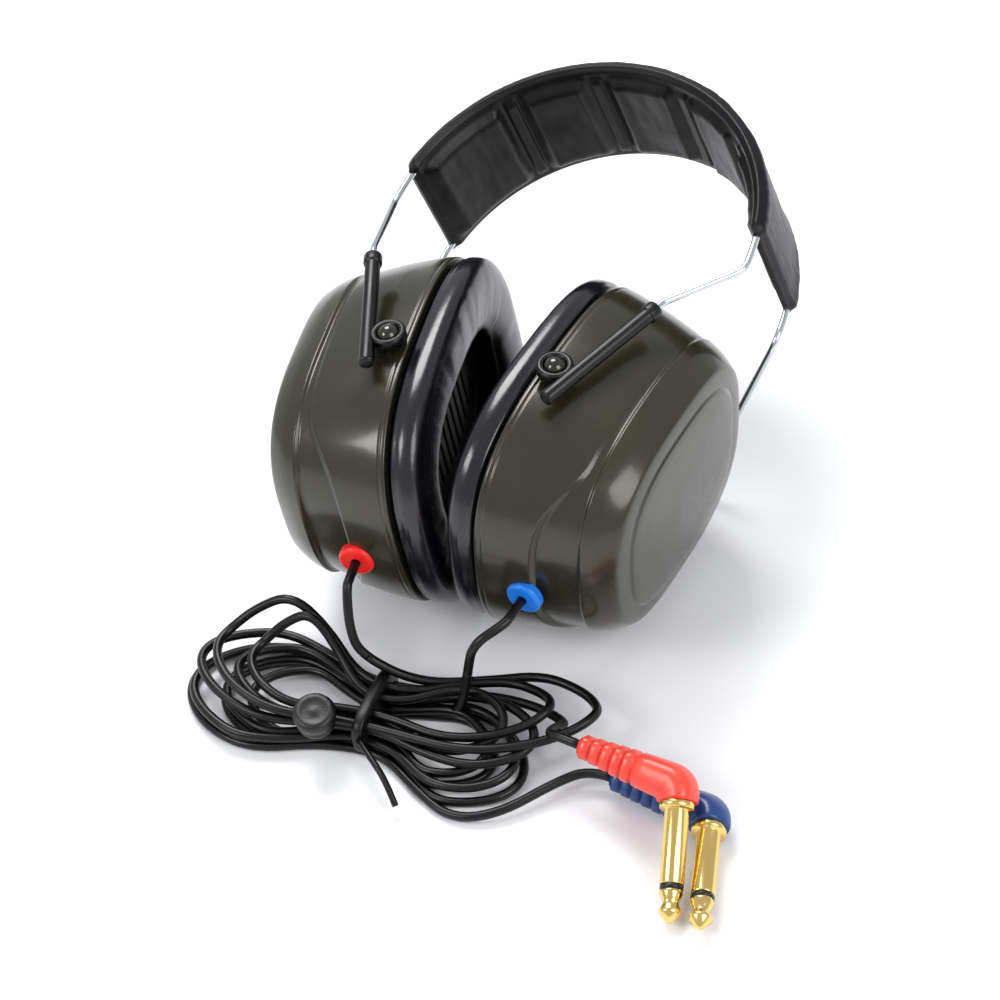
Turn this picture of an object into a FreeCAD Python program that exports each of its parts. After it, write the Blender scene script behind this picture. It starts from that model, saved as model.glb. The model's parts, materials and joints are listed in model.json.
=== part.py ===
import FreeCAD, Part
import math
import os

# Over-head muff headset with two corded plugs, laid on its back on a table. Millimetres.
# World frame: +X to the wearer's left cup side shown on the right, +Y towards the headband,
# +Z up from the table. Each cup is built in a cup frame: x outward from the head, y towards
# the headband, z across the front and rear pivots. The headband is built in a band frame:
# x side to side, y front to rear across the strap, z up to the crown.

V = FreeCAD.Vector
X_AXIS, Y_AXIS, Z_AXIS = V(1, 0, 0), V(0, 1, 0), V(0, 0, 1)
ORIGIN = V(0, 0, 0)

# ---- cup and shell ----
rim_half_height = 47.1      # cup half height at the rim, along y
rim_half_width = 39.0       # cup half width at the rim, along z
oval_power = 2.79           # squareness of the oval outline
shell_depth = 36.6          # rim plane to outer face
face_share = 0.76           # outer face outline as a share of the rim outline
shell_power = 1.31          # roundness of the shell's side profile
shell_wall = 2.3
rim_x = -4.9                # rim plane, inboard of the pivot axis
cup_rise = 8.0              # middle of the rim above the pivot axis, along y
face_panel_share = 0.60     # raised panel on the outer face
face_panel_thickness = 1.2

# ---- ear cushion, rim plate, grille ----
cushion_thickness = 9.9
cushion_ring_along = 18.1   # cushion's ring width at its ends, and at its sides below
cushion_ring_across = 19.0
cushion_hole_height = rim_half_height - cushion_ring_along
cushion_hole_width = rim_half_width - cushion_ring_across
cushion_edge = 1.6          # how far the cushion's faces are drawn in from its middle
plate_thickness = 2.4
plate_clearance = 0.4       # rim plate to the shell's inner wall
grille_thickness = 1.4
grille_clearance = 0.15
grille_set_back = 0.6
grille_slot = 1.6
grille_pitch = 4.0

# ---- sound unit ----
driver_radius = 22.0
driver_wall = 1.6
driver_depth = 7.0
magnet_radius = 10.0
magnet_depth = 6.0
cone_thickness = 0.6
cone_clearance = 0.3
liner_gap = 3.0             # magnet to foam liner
liner_clearance = 0.8       # foam liner to the shell's inner wall

# ---- pivots and wire guides ----
pivot_gap = 3.0             # shell's rim to each ball centre
pivot_span = rim_half_width + pivot_gap
ball_radius = 3.1
ball_clearance = 0.06
stud_radius = 1.45
stud_clearance = 0.1
stud_flange_radius = 2.3
stud_flange_thickness = 1.2
socket_wall = 1.8
socket_radius = ball_radius + socket_wall
socket_thickness = 3.6
guide_wall = 1.0
wire_radius = 1.0
wire_clearance = 0.1
guide_radius = wire_radius + wire_clearance + guide_wall
ball_to_guide = 0.4
# guide centre line outboard of the ball centre
guide_offset = ball_radius + guide_radius + ball_to_guide
guide_slant = 14.2          # lean of the guide away from the cup's long axis, degrees
guide_above = 33.1          # guide length above the ball
guide_below = 10.0          # guide length below the ball
collar_radius = guide_radius + 0.5
collar_length = 3.4
guide_floor = 3.0           # closed end of the guide under the wire channel
wire_end_gap = 6.1          # wire's end to the guide's closed end at rest
wire_in_guide = guide_above + guide_below - guide_floor - wire_end_gap

# ---- headband ----
band_wire_radius = 54.5     # arc of the spring wires
band_wire_spacing = 35.0    # front wire to rear wire
arc_drop = 2.3              # arc centre below its radius from the band frame's origin
band_width = 41.0
cover_inner = 1.7           # strap thickness inboard of the wires' centre line
cover_outer = 2.6           # strap thickness outboard of it
band_end_angle = 11.5       # where the strap stops, above the band frame's x axis
crown_gap = 0.3             # half gap between the two halves at the crown
pad_thickness = 2.6
pad_margin = 1.4            # strap edge to pad edge
rib_angles = (43.0, 15.0)   # welded ribs, measured from the crown
rib_width = 3.0
rib_height = 1.2
rib_clearance = 0.4
channel_clearance = 0.15    # wire to its channel in the strap
end_cap_length = 2.2
end_cap_margin = 0.5
arc_end_angle = 4.0         # where the spring wire leaves its arc
shoulder_drop = 1.3         # wire's first bend below the arc centre
front_knee = 3.5            # second bend above the front guide's mouth
rear_knee = 16.0            # second bend above the rear guide's mouth
band_bend_radius = 6.0

# ---- rest posture ----
cup_splay = 7.1             # turn of each cup about its pivots, degrees
cup_roll = 4.0              # dip of each cup's outer face, degrees
cup_lean = 0.7              # rise of each cup's band end, so both ends of the rear guide rest
cushion_clearance = 0.45    # middle plane to each cushion's nearest corner
splay_reach = (rim_half_height - cup_rise) * 0.73 * math.sin(math.radians(cup_splay))
roll_reach = rim_half_width * 0.78 * math.sin(math.radians(cup_roll))
pivot_half_spacing = (cushion_thickness - rim_x + splay_reach + roll_reach
                      + cushion_clearance)   # pivot axis to the middle plane
band_lift = 16.3            # headband's rise above the table, degrees
band_yaw = -5.8
band_roll = -4.8
band_over_cups = 45.7       # cup's band end to the band frame's origin, along y
band_origin = V(3.1, cup_rise + rim_half_height - band_over_cups, 6.8)

# ---- cord, grommet, plugs ----
cord_diameter = 2.6
cord_clearance = 0.05
grommet_x = 8.5
grommet_z = -6.0
grommet_radius = 5.0
grommet_thickness = 2.6
grommet_neck_radius = 3.0
grommet_clearance = 0.1
clamp_radius = 4.2
clamp_length = 6.0
sleeve_radius = 3.175
plug_length = 31.5
tip_length = 8.6
ring_length = 1.3
tip_waist_radius = 2.2
pin_radius = 1.1
body_radius = 5.2
arm_radius = 4.0
arm_end_radius = 2.4
arm_length = 29.0
collar_plug_radius = 4.6
collar_plug_length = 2.0
elbow_half = 4.6            # half length of the plug's moulded head
pin_root = 2.0              # metal held in the moulded head
root_radius = 2.7
arm_plain = 14.0
rib_count = 5
tail_run = 9.0              # straight cord beyond a plug's arm
hank_to_cups = 22.9         # cups' lower end to the middle of the hank
hank_centre = V(-13.0, cup_rise - rim_half_height - hank_to_cups, 0)
hank_height = 10.0
hank_clear = 0.3
left_lobe_direction = 181.0
left_lobe_length = 59.0
left_lobe_half_width = 21.0
right_lobe_direction = 4.0
right_lobe_length = 55.0
right_lobe_half_width = 20.0
waist_half_width = 9.5
tie_width = 5.0
tie_wrap = 1.3
clip_at = hank_centre + V(-11.0, -8.0, 0)
clip_radius = 6.2
clip_height = 7.0
lead_start = 8.0            # straight cord in front of a grommet
# Lead route points after the grommet, from the hank's middle: x, y, and height above its top.
lead_points = {
    "left": ((-11.0, -0.5, 10.0), (-8.0, 2.5, 0.0)),
    "right": ((25.0, 2.0, 21.0), (10.0, -2.0, 12.0), (4.0, 0.5, 0.0)),
}
# Each plug: side, tip x and y from the hank's middle, lift of its centre line at the tip,
# heading and pitch from elbow to tip, heading and rise of its arm, and its cord's end in the hank.
plugs = (
    ("left", 98.5, -40.5, 3.3, -76.0, 22.0, 172.0, 3.0, (33.0, 2.0)),
    ("right", 107.0, -41.2, 5.5, -75.0, 0.0, 172.0, 0.0, (33.0, -8.0)),
)

SIDES = ("right", "left")
made = {}


def save(name, shape):
    made[name] = shape


def oval(x, half_y, half_z, middle_y):
    """Closed oval outline in a plane of constant x."""
    points = []
    for step in range(24):
        a = 2 * math.pi * (step + 0.5) / 24
        c, s = math.cos(a), math.sin(a)
        y = half_y * math.copysign(abs(s) ** (2 / oval_power), s)
        z = half_z * math.copysign(abs(c) ** (2 / oval_power), c)
        points.append(V(x, middle_y + y, z))
    curve = Part.BSplineCurve()
    curve.interpolate(Points=points, PeriodicFlag=True)
    return Part.Wire(curve.toShape())


def loft(outlines):
    return Part.makeLoft(outlines, True, False)


def oval_plate(x0, x1, half_y, half_z, middle_y=cup_rise):
    face = Part.Face(oval(x0, half_y, half_z, middle_y))
    return face.extrude(V(x1 - x0, 0, 0))


def profile_share(depth_share):
    rest = 1 - depth_share ** shell_power
    return face_share + (1 - face_share) * max(rest, 0.0) ** (1 / shell_power)


def shell_section(depth_share, inset):
    share = profile_share(depth_share)
    x = rim_x + shell_depth * depth_share
    return oval(x, rim_half_height * share - inset, rim_half_width * share - inset, cup_rise)


def cylinder(radius, start, end):
    way = end - start
    return Part.makeCylinder(radius, way.Length, start, way)


def rounded_path(points, radius=None):
    """Straight runs joined by tangent arcs; without a radius each arc is as large as fits."""
    edges = []
    radii = []
    last = points[0]
    for before, corner, after in zip(points, points[1:], points[2:]):
        into = (corner - before).normalize()
        out = (after - corner).normalize()
        turn = into.getAngle(out)
        shorter = min((corner - before).Length, (after - corner).Length)
        if radius is None:
            cut = 0.45 * shorter
        else:
            cut = radius * math.tan(turn / 2)
        arc_radius = cut / math.tan(turn / 2)
        radii.append(arc_radius)
        start = corner - into * cut
        end = corner + out * cut
        inward = (out - into).normalize()
        centre = corner + inward * (arc_radius / math.cos(turn / 2))
        middle = centre - inward * arc_radius
        edges.append(Part.LineSegment(last, start).toShape())
        edges.append(Part.Arc(start, middle, end).toShape())
        last = end
    edges.append(Part.LineSegment(last, points[-1]).toShape())
    return edges, radii


def tube(edges, radius):
    path = Part.Wire(edges)
    first = edges[0]
    start = first.valueAt(first.FirstParameter)
    way = first.tangentAt(first.FirstParameter)
    ring = Part.Wire(Part.makeCircle(radius, start, way))
    return path.makePipeShell([ring], True, False)


# ---- the cup, in its own frame ----

def build_shell():
    shares = (0.0, 0.15, 0.35, 0.55, 0.75, 0.9, 1.0)
    outer = loft([shell_section(s, 0.0) for s in shares])
    inner_shares = [s * (1 - shell_wall / shell_depth) for s in shares]
    inner = loft([shell_section(s, shell_wall) for s in inner_shares])
    shell = outer.cut(inner)
    for side in (1, -1):
        outside = V(0, 0, side * (rim_half_width + 4))
        shell = shell.cut(cylinder(stud_radius + stud_clearance, ORIGIN, outside))
    bottom = grommet_seat_y()
    under = V(grommet_x, bottom - 12, grommet_z)
    seat = V(grommet_x, bottom, grommet_z)
    inside = V(grommet_x, bottom + 12, grommet_z)
    shell = shell.cut(cylinder(grommet_radius + grommet_clearance, under, seat))
    return shell.cut(cylinder(grommet_neck_radius + grommet_clearance, under, inside))


def grommet_seat_y():
    share = profile_share((grommet_x - rim_x) / shell_depth)
    return cup_rise - rim_half_height * share + 0.9


def build_grommet():
    seat = V(grommet_x, grommet_seat_y(), grommet_z)
    flange = cylinder(grommet_radius, seat, seat - Y_AXIS * grommet_thickness)
    rim = [e for e in flange.Edges if abs(e.CenterOfMass.y - seat.y + grommet_thickness) < 1e-6]
    flange = flange.makeFillet(1.1, rim)
    neck = cylinder(grommet_neck_radius, seat, seat + Y_AXIS * (shell_wall + 0.2))
    body = flange.fuse(neck)
    bore = cylinder(cord_diameter / 2 + cord_clearance, seat - Y_AXIS * 9, seat + Y_AXIS * 9)
    return body.cut(bore)


def build_cord_clamp():
    start = V(grommet_x, grommet_seat_y() + shell_wall + 0.4, grommet_z)
    body = cylinder(clamp_radius, start, start + Y_AXIS * clamp_length)
    bore = cylinder(cord_diameter / 2 + cord_clearance, start - Y_AXIS, start + Y_AXIS * 20)
    return body.cut(bore)


def build_face_panel():
    x = rim_x + shell_depth
    half_y = rim_half_height * face_panel_share
    half_z = rim_half_width * face_panel_share
    near = oval(x, half_y, half_z, cup_rise)
    far = oval(x + face_panel_thickness, half_y - 1, half_z - 1, cup_rise)
    return loft([near, far])


def build_rim_plate():
    inset = shell_wall + plate_clearance
    x1 = rim_x + plate_thickness
    plate = oval_plate(rim_x, x1, rim_half_height - inset, rim_half_width - inset)
    return plate.cut(oval_plate(rim_x - 1, x1 + 1, cushion_hole_height, cushion_hole_width))


def build_grille():
    x0 = rim_x + grille_set_back
    x1 = x0 + grille_thickness
    half_y = cushion_hole_height - grille_clearance
    half_z = cushion_hole_width - grille_clearance
    plate = oval_plate(x0, x1, half_y, half_z)
    count = int((half_y * 0.8) // grille_pitch)
    for row in range(-count, count + 1):
        y = cup_rise + row * grille_pitch
        reach = half_z * 0.75 * math.sqrt(max(1 - (row * grille_pitch / half_y) ** 2, 0.05))
        slot = Part.makeBox(grille_thickness + 2, grille_slot, 2 * reach,
                            V(x0 - 1, y - grille_slot / 2, -reach))
        plate = plate.cut(slot)
    return plate


def build_cushion():
    middle = rim_x - cushion_thickness / 2
    outer = []
    hole = []
    for x, drawn in ((rim_x, cushion_edge), (middle, 0.0), (rim_x - cushion_thickness, cushion_edge)):
        outer.append(oval(x, rim_half_height - drawn, rim_half_width - drawn, cup_rise))
    for x in (rim_x + 1, rim_x - cushion_thickness - 1):
        hole.append(oval(x, cushion_hole_height, cushion_hole_width, cup_rise))
    return loft(outer).cut(loft(hole))


def build_driver_frame():
    start = V(rim_x + plate_thickness, cup_rise, 0)
    end = start + X_AXIS * driver_depth
    body = cylinder(driver_radius, start, end)
    hollow = cylinder(driver_radius - driver_wall, start, end - X_AXIS * driver_wall)
    back_hole = cylinder(magnet_radius - driver_wall, start, end + X_AXIS)
    return body.cut(hollow).cut(back_hole)


def build_driver_cone():
    x = rim_x + plate_thickness + 1.5
    radius = driver_radius - driver_wall - cone_clearance
    dish = Part.makeCone(radius, radius * 0.35, 3.0, V(x, cup_rise, 0), X_AXIS)
    under = Part.makeCone(radius, radius * 0.35, 3.0, V(x - cone_thickness, cup_rise, 0), X_AXIS)
    return dish.cut(under)


def build_driver_magnet():
    start = V(rim_x + plate_thickness + driver_depth, cup_rise, 0)
    return cylinder(magnet_radius, start, start + X_AXIS * magnet_depth)


def build_foam_liner():
    start = plate_thickness + driver_depth + magnet_depth + liner_gap
    first = start / shell_depth
    last = 1 - (shell_wall + liner_clearance) / shell_depth
    inset = shell_wall + liner_clearance
    return loft([shell_section(s, inset) for s in (first, (first + last) / 2, last)])


def build_pivot_balls():
    parts = []
    share = profile_share(-rim_x / shell_depth)
    wall_inside = rim_half_width * share - shell_wall - 1.0
    for side in (1, -1):
        centre = V(0, 0, side * pivot_span)
        ball = Part.makeSphere(ball_radius, centre)
        root = V(0, 0, side * wall_inside)
        stud = cylinder(stud_radius, root, centre)
        flange_end = root - Z_AXIS * (side * stud_flange_thickness)
        parts.append(ball.fuse(stud).fuse(cylinder(stud_flange_radius, root, flange_end)))
    return Part.makeCompound(parts)


def guide_way():
    slant = math.radians(guide_slant)
    return V(math.sin(slant), math.cos(slant), 0)


def guide_points(side):
    """Top and bottom of a guide's centre line in the cup frame; side 1 front, -1 rear."""
    way = guide_way()
    outboard = V(way.y, -way.x, 0)
    nearest = outboard * guide_offset + Z_AXIS * (side * pivot_span)
    return nearest + way * guide_above, nearest - way * guide_below


def build_guide(side):
    top, bottom = guide_points(side)
    way = guide_way()
    ball = V(0, 0, side * pivot_span)
    half = Z_AXIS * (socket_thickness / 2)
    body = cylinder(guide_radius, bottom, top)
    body = body.fuse(cylinder(collar_radius, top - way * collar_length, top))
    body = body.fuse(cylinder(socket_radius, ball - half, ball + half))
    web = Part.makeBox(guide_offset, 5.0, socket_thickness - 0.8,
                       V(0, -2.5, -socket_thickness / 2 + 0.4))
    web.Placement = FreeCAD.Placement(ball, FreeCAD.Rotation(Z_AXIS, -guide_slant))
    body = body.fuse(web)
    channel_start = bottom + way * guide_floor
    body = body.cut(cylinder(wire_radius + wire_clearance, channel_start, top + way))
    return body.cut(Part.makeSphere(ball_radius + ball_clearance, ball))


def cup_placement():
    turn = FreeCAD.Rotation(Z_AXIS, -cup_splay)
    dip = FreeCAD.Rotation(Y_AXIS, cup_roll)
    lean = FreeCAD.Rotation(X_AXIS, cup_lean)
    return FreeCAD.Placement(V(pivot_half_spacing, 0, 0), turn.multiply(dip).multiply(lean))


def place(shape, placement):
    moved = shape.copy()
    moved.Placement = placement.multiply(shape.Placement)
    return moved


def mirrored(shape):
    return shape.mirror(ORIGIN, X_AXIS)


CUP_BUILDERS = {
    "shell": build_shell,
    "face_panel": build_face_panel,
    "rim_plate": build_rim_plate,
    "cushion": build_cushion,
    "grille": build_grille,
    "driver_frame": build_driver_frame,
    "driver_cone": build_driver_cone,
    "driver_magnet": build_driver_magnet,
    "foam_liner": build_foam_liner,
    "pivot_balls": build_pivot_balls,
    "grommet": build_grommet,
    "cord_clamp": build_cord_clamp,
}


def build_cups():
    at = cup_placement()
    for name, builder in CUP_BUILDERS.items():
        right = place(builder(), at)
        save(name + "_right", right)
        save(name + "_left", mirrored(right))
    for name, side in (("front_guide", 1), ("rear_guide", -1)):
        right = place(build_guide(side), at)
        save(name + "_right", right)
        save(name + "_left", mirrored(right))


# ---- the headband, in the band frame ----

def band_placement():
    yaw = FreeCAD.Rotation(Z_AXIS, band_yaw)
    roll = FreeCAD.Rotation(Y_AXIS, band_roll)
    lift = FreeCAD.Rotation(X_AXIS, band_lift - 90)
    return FreeCAD.Placement(band_origin, yaw.multiply(roll).multiply(lift))


def arc_centre_z():
    return band_wire_radius - arc_drop


def sector(inner, outer, width, low_angle, high_angle):
    """Part of a ring about the band frame's y axis, between two angles from +x, right half."""
    ring = Part.makeCylinder(outer, width, V(0, -width / 2, 0), Y_AXIS)
    ring = ring.cut(Part.makeCylinder(inner, width + 2, V(0, -width / 2 - 1, 0), Y_AXIS))
    far = outer * 3
    corners = [ORIGIN]
    for angle in (low_angle, (low_angle + high_angle) / 2, high_angle):
        a = math.radians(angle)
        corners.append(V(far * math.cos(a), 0, far * math.sin(a)))
    corners.append(ORIGIN)
    wedge = Part.Face(Part.makePolygon(corners)).extrude(V(0, width + 4, 0))
    wedge.translate(V(0, -width / 2 - 2, 0))
    piece = ring.common(wedge)
    piece.translate(V(0, 0, arc_centre_z()))
    return piece


def gap_angle(radius, gap):
    return math.degrees(gap / radius)


def build_cover():
    inner = band_wire_radius - cover_inner
    outer = band_wire_radius + cover_outer
    top = 90 - gap_angle(inner, crown_gap)
    strap = sector(inner, outer, band_width, band_end_angle, top)
    channel = wire_radius + channel_clearance
    for side in (1, -1):
        y = side * band_wire_spacing / 2
        ring = Part.makeTorus(band_wire_radius, channel, V(0, y, arc_centre_z()), Y_AXIS)
        strap = strap.cut(ring)
    return strap


def pad_span(index):
    """Low and high angle of a pad, from the strap's end to the crown."""
    ribs = [90 - angle for angle in rib_angles]
    keep = gap_angle(band_wire_radius - cover_inner, rib_width / 2 + rib_clearance)
    spans = (
        (band_end_angle + 2.0, ribs[0] - keep),
        (ribs[0] + keep, ribs[1] - keep),
        (ribs[1] + keep, 90 - gap_angle(band_wire_radius, crown_gap)),
    )
    return spans[index]


def build_pad(index):
    outer = band_wire_radius - cover_inner
    low, high = pad_span(index)
    return sector(outer - pad_thickness, outer, band_width - 2 * pad_margin, low, high)


def build_ribs():
    outer = band_wire_radius - cover_inner
    half = gap_angle(outer, rib_width / 2)
    parts = []
    for angle in rib_angles:
        middle = 90 - angle
        parts.append(sector(outer - rib_height, outer, band_width - 2 * pad_margin,
                            middle - half, middle + half))
    return Part.makeCompound(parts)


def build_end_cap():
    reach = gap_angle(band_wire_radius, end_cap_length)
    inner = band_wire_radius - cover_inner - end_cap_margin
    outer = band_wire_radius + cover_outer + end_cap_margin
    width = band_width + 2 * end_cap_margin
    cap = sector(inner, outer, width, band_end_angle - reach, band_end_angle)
    for side in (1, -1):
        y = side * band_wire_spacing / 2
        hole = Part.makeTorus(band_wire_radius, wire_radius + channel_clearance,
                              V(0, y, arc_centre_z()), Y_AXIS)
        cap = cap.cut(hole)
    return cap


def wire_leg(side, hand):
    """Guide mouth, knee just above it, and wire end, in the world frame."""
    top, bottom = guide_points(side)
    way = guide_way()
    at = cup_placement()
    knee = at.multVec(top + way * (front_knee if side > 0 else rear_knee))
    end = at.multVec(top - way * wire_in_guide)
    if hand < 0:
        knee = V(-knee.x, knee.y, knee.z)
        end = V(-end.x, end.y, end.z)
    return knee, end


def build_wire(side, hand):
    """Spring wire: half arc in the strap, then two bends to its guide."""
    at = band_placement()
    centre = arc_centre_z()
    y = -side * band_wire_spacing / 2
    start_angle = math.radians(90 - gap_angle(band_wire_radius, crown_gap))

    def arc_point(angle):
        x = hand * band_wire_radius * math.cos(angle)
        return at.multVec(V(x, y, centre + band_wire_radius * math.sin(angle)))

    end_angle = math.radians(arc_end_angle)
    middle = arc_point((start_angle + end_angle) / 2)
    arc = Part.Arc(arc_point(start_angle), middle, arc_point(end_angle)).toShape()
    run = (band_wire_radius * math.sin(end_angle) + shoulder_drop) * math.tan(end_angle)
    x = hand * (band_wire_radius * math.cos(end_angle) + run)
    shoulder = at.multVec(V(x, y, centre - shoulder_drop))
    knee, end = wire_leg(side, hand)
    straight = [arc_point(end_angle), shoulder, knee, end]
    edges, radii = rounded_path(straight, band_bend_radius)
    return tube([arc] + edges, wire_radius)


def build_headband():
    at = band_placement()
    pieces = {
        "strap": build_cover(),
        "band_pad_end": build_pad(0),
        "band_pad_side": build_pad(1),
        "band_pad_crown": build_pad(2),
        "band_ribs": build_ribs(),
        "band_end_cap": build_end_cap(),
    }
    for name, shape in pieces.items():
        save(name + "_right", place(shape, at))
        save(name + "_left", place(mirrored(shape), at))
    for place_name, side in (("front", 1), ("rear", -1)):
        save("spring_wire_" + place_name + "_right", build_wire(side, 1))
        save("spring_wire_" + place_name + "_left", build_wire(side, -1))


# ---- cords, hank and plugs, in the world frame ----

def floor_z():
    return min(made["rear_guide_" + hand].optimalBoundingBox(False).ZMin for hand in SIDES)


def lobe(direction, length, half_width, share):
    """One side of the bow: points out along one edge and back along the other."""
    way = V(math.cos(math.radians(direction)), math.sin(math.radians(direction)), 0)
    across = V(-way.y, way.x, 0)
    steps = ((0.30, -0.62), (0.65, -1.0), (0.92, -0.66), (1.0, 0.0),
             (0.92, 0.66), (0.65, 1.0), (0.30, 0.62))
    return [hank_centre + way * (length * share * along) + across * (half_width * share * over)
            for along, over in steps]


def bow_outline(z, share):
    points = lobe(right_lobe_direction, right_lobe_length, right_lobe_half_width, share)
    points += lobe(left_lobe_direction, left_lobe_length, left_lobe_half_width, share)
    curve = Part.BSplineCurve()
    curve.interpolate(Points=[V(p.x, p.y, z) for p in points], PeriodicFlag=True)
    return Part.Wire(curve.toShape())


def build_hank():
    base = floor_z() + hank_clear
    middle = base + hank_height / 2
    top = base + hank_height
    body = loft([bow_outline(base, 0.93), bow_outline(middle, 1.0), bow_outline(top, 0.90)])
    save("cord_hank", body)
    low = V(hank_centre.x - tie_width / 2, hank_centre.y - waist_half_width, base + 0.4)
    reach = 2 * waist_half_width
    outer = Part.makeBox(tie_width, reach + 2 * tie_wrap, hank_height + 2 * tie_wrap - 0.4,
                         low - V(0, tie_wrap, 0))
    along = [e for e in outer.Edges if abs(e.CenterOfMass.x - hank_centre.x) < 1e-6]
    save("cord_tie", outer.makeFillet(1.0, along).cut(body))


def build_cord_clip():
    base = floor_z() + hank_height + hank_clear
    foot = V(clip_at.x, clip_at.y, base)
    body = cylinder(clip_radius, foot, foot + Z_AXIS * clip_height)
    rim = [e for e in body.Edges if abs(e.CenterOfMass.z - base - clip_height) < 1e-6]
    save("cord_clip", body.makeFillet(2.0, rim))


def grommet_exit(hand):
    """Cord centre line at the grommet: a point inside it, its mouth, and one clear of it."""
    at = cup_placement()
    seat = grommet_seat_y()
    found = []
    for y in (seat + 1, seat - grommet_thickness, seat - grommet_thickness - lead_start):
        p = at.multVec(V(grommet_x, y, grommet_z))
        found.append(p if hand == "right" else V(-p.x, p.y, p.z))
    return found


def build_leads():
    for hand in SIDES:
        inside, mouth, clear = grommet_exit(hand)
        top = floor_z() + hank_clear + hank_height
        points = [inside, clear]
        for x, y, z in lead_points[hand]:
            points.append(V(hank_centre.x + x, hank_centre.y + y, top + z))
        edges, radii = rounded_path(points)
        save("cord_lead_" + hand, tube(edges, cord_diameter / 2).cut(made["cord_hank"]))
        print("lead", hand, [round(r, 1) for r in radii])


def plug_frame(tip, heading, pitch):
    """Way from the elbow to the tip, and the elbow's centre."""
    h, p = math.radians(heading), math.radians(pitch)
    way = V(math.cos(h) * math.cos(p), math.sin(h) * math.cos(p), -math.sin(p))
    return way, tip - way * (plug_length + elbow_half)


def ribbed_arm(start, way):
    """Moulded arm: a plain part, then a tapered strain relief with ribs."""
    plain = cylinder(arm_radius, start, start + way * arm_plain)
    relief = Part.makeCone(arm_radius - 0.6, arm_end_radius, arm_length - arm_plain,
                           start + way * arm_plain, way)
    body = plain.fuse(relief)
    step = (arm_length - arm_plain) / rib_count
    for index in range(rib_count):
        share = (index + 0.55) / rib_count
        radius = arm_radius + (arm_end_radius + 0.7 - arm_radius) * share
        at = start + way * (arm_plain + step * (index + 0.35))
        body = body.fuse(cylinder(radius, at, at + way * (step * 0.5)))
    return body


def build_plug(hand, tip, heading, pitch, arm_heading, arm_pitch, tail_end):
    way, elbow = plug_frame(tip, heading, pitch)
    a, b = math.radians(arm_heading), math.radians(arm_pitch)
    arm_way = V(math.cos(a) * math.cos(b), math.sin(a) * math.cos(b), math.sin(b))
    head = cylinder(body_radius, elbow - way * elbow_half, elbow + way * elbow_half)
    rim = [e for e in head.Edges if (e.CenterOfMass - elbow + way * elbow_half).Length < 1e-6]
    head = head.makeFillet(2.0, rim)
    body = head.fuse(ribbed_arm(elbow, arm_way))
    root = elbow + way * elbow_half
    body = body.cut(cylinder(root_radius, root - way * pin_root, root + way))
    sleeve_end = tip - way * (tip_length + ring_length)
    ring_end = tip - way * tip_length
    sleeve = cylinder(sleeve_radius, root, sleeve_end)
    sleeve = sleeve.fuse(cylinder(root_radius, root - way * pin_root, root + way))
    shoulder = cylinder(collar_plug_radius, root, root + way * collar_plug_length)
    sleeve = sleeve.fuse(shoulder).cut(cylinder(pin_radius, root - way * (pin_root + 1), tip))
    insulator = cylinder(sleeve_radius, sleeve_end, ring_end)
    insulator = insulator.cut(cylinder(pin_radius, sleeve_end - way, tip))
    waist = ring_end + way * (tip_length * 0.42)
    shoulder_at = ring_end + way * (tip_length * 0.70)
    tip_body = Part.makeCone(sleeve_radius - 0.3, tip_waist_radius, (waist - ring_end).Length,
                             ring_end, way)
    tip_body = tip_body.fuse(Part.makeCone(tip_waist_radius, sleeve_radius - 0.2,
                                           (shoulder_at - waist).Length, waist, way))
    tip_body = tip_body.fuse(Part.makeCone(sleeve_radius - 0.2, 0.9, (tip - shoulder_at).Length,
                                           shoulder_at, way))
    tip_body = tip_body.fuse(cylinder(pin_radius, root - way * (pin_root - 1), ring_end))
    save("plug_body_" + hand, body)
    save("plug_sleeve_" + hand, sleeve)
    save("plug_insulator_" + hand, insulator)
    save("plug_tip_" + hand, tip_body)
    start = elbow + arm_way * arm_length
    first = start + arm_way * tail_run
    last = V(hank_centre.x + tail_end[0], hank_centre.y + tail_end[1],
             floor_z() + hank_clear + hank_height * 0.5)
    edges, radii = rounded_path([start, first, last])
    save("cord_tail_" + hand, tube(edges, cord_diameter / 2).cut(made["cord_hank"]))
    print("tail", hand, [round(r, 1) for r in radii])


def build_cords():
    build_hank()
    build_cord_clip()
    build_leads()
    base = floor_z()
    for hand, x, y, lift, heading, pitch, arm_heading, arm_pitch, tail_end in plugs:
        tip = V(hank_centre.x + x, hank_centre.y + y, base + lift)
        build_plug(hand, tip, heading, pitch, arm_heading, arm_pitch, tail_end)


def rest_on_origin():
    """Move everything so the table is z = 0 under the middle of the headset itself."""
    box = FreeCAD.BoundBox()
    for name, shape in made.items():
        if not name.startswith(("cord_", "plug_")):
            box.add(shape.optimalBoundingBox(False))
    shift = V(-box.Center.x, -box.Center.y, -box.ZMin)
    for shape in made.values():
        shape.translate(shift)
    return shift


build_cups()
build_headband()
build_cords()
world_shift = rest_on_origin()
os.makedirs("parts", exist_ok=True)
for node, shape in made.items():
    shape.exportStep("parts/" + node + ".step")
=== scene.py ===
import json
import math
import random

import bmesh
import bpy
import numpy as np
from mathutils import Matrix, Vector, noise


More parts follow.
